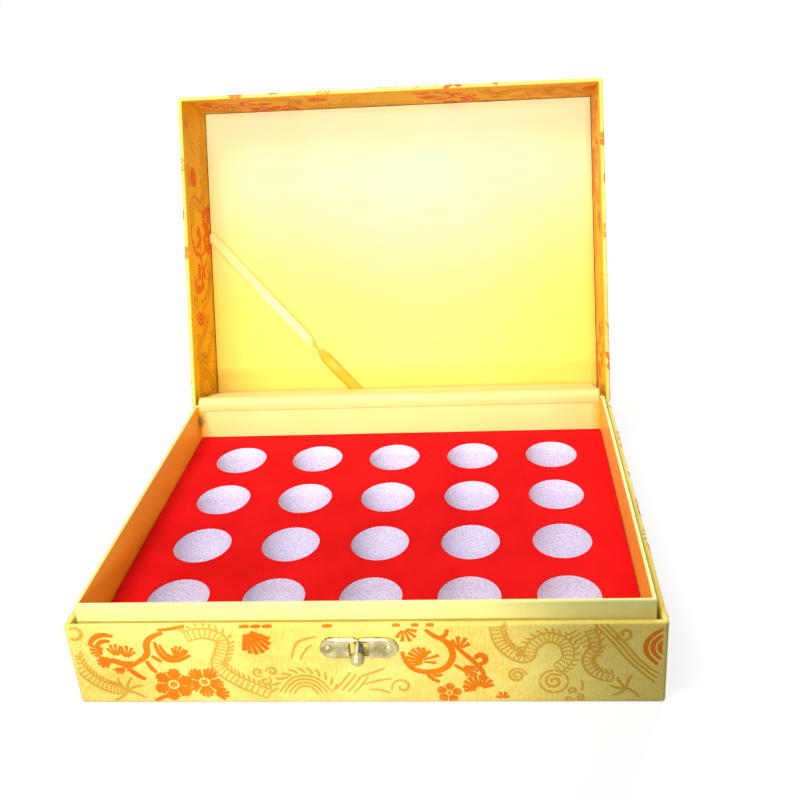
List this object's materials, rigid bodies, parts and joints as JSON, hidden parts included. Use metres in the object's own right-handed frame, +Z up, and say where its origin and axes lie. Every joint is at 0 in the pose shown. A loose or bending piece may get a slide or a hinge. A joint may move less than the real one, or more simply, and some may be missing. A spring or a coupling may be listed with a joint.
{
  "type": "brocade presentation box",
  "caption": "Shallow rectangular keepsake box in dragon-and-flower brocade, with a hinged deep lid, a ball-and-hasp clasp and a flocked nest of round cups.",
  "frame": {"origin": "middle of the underside, on the surface that the box rests on", "axes": "+X to the right along the lid's hinge, +Y to the back, +Z up"},
  "size_m": [0.26, 0.3197, 0.228],
  "materials": {
    "greyboard": "matte",
    "brocade": "satin",
    "satin": "satin",
    "lining_paper": "matte",
    "foam": "matte",
    "flock": "matte",
    "sponge": "matte",
    "ribbon_satin": "satin",
    "gilt_metal": "polished",
    "spring_steel": "satin"
  },
  "bodies": {
    "base": {"underside_sheet": "lining_paper", "base_floor_board": "greyboard", "base_front_board": "greyboard", "base_back_board": "greyboard", "base_left_board": "greyboard", "base_right_board": "greyboard", "base_brocade": "brocade", "frame_front_board": "greyboard", "frame_back_board": "greyboard", "frame_left_board": "greyboard", "frame_right_board": "greyboard", "frame_satin": "satin", "foam_block": "foam", "tray_sheet": "flock", "clasp_plate": "gilt_metal", "clasp_nails": "gilt_metal", "clasp_spring": "spring_steel", "hinge_brocade": "brocade", "hinge_satin": "satin"},
    "clasp_lever": {"clasp_lever": "gilt_metal"},
    "lid": {"lid_front_board": "greyboard", "lid_back_board": "greyboard", "lid_left_board": "greyboard", "lid_right_board": "greyboard", "lid_top_board": "greyboard", "lid_padding": "sponge", "lid_brocade": "brocade", "ceiling_card": "greyboard", "ceiling_sponge": "sponge", "ceiling_satin": "satin", "ribbon": "ribbon_satin", "hasp_base": "gilt_metal", "hasp_nails": "gilt_metal", "hasp_pin": "gilt_metal"},
    "hasp": {"hasp_leaf": "gilt_metal"}
  },
  "joints": [
    {"name": "lid_hinge", "type": "hinge", "parent": "base", "child": "lid", "pos_m": [0, 0.098, 0.04315], "axis": [1, 0, 0], "range_deg": [0, 109.25], "deforming": ["hinge_satin", "hinge_brocade"]},
    {"name": "clasp_lever_turn", "type": "hinge", "parent": "base", "child": "clasp_lever", "pos_m": [-0.001, -0.09865, 0.0354], "axis": [-1, 0, 0], "range_deg": [0, 30], "stiffness_Nm_per_rad": 0.01, "springref_deg": -11.46},
    {"name": "hasp_hinge", "type": "hinge", "parent": "lid", "child": "hasp", "pos_m": [-0.001, 0.17866, 0.22513], "axis": [1, 0, 0], "range_deg": [0, 180]}
  ]
}
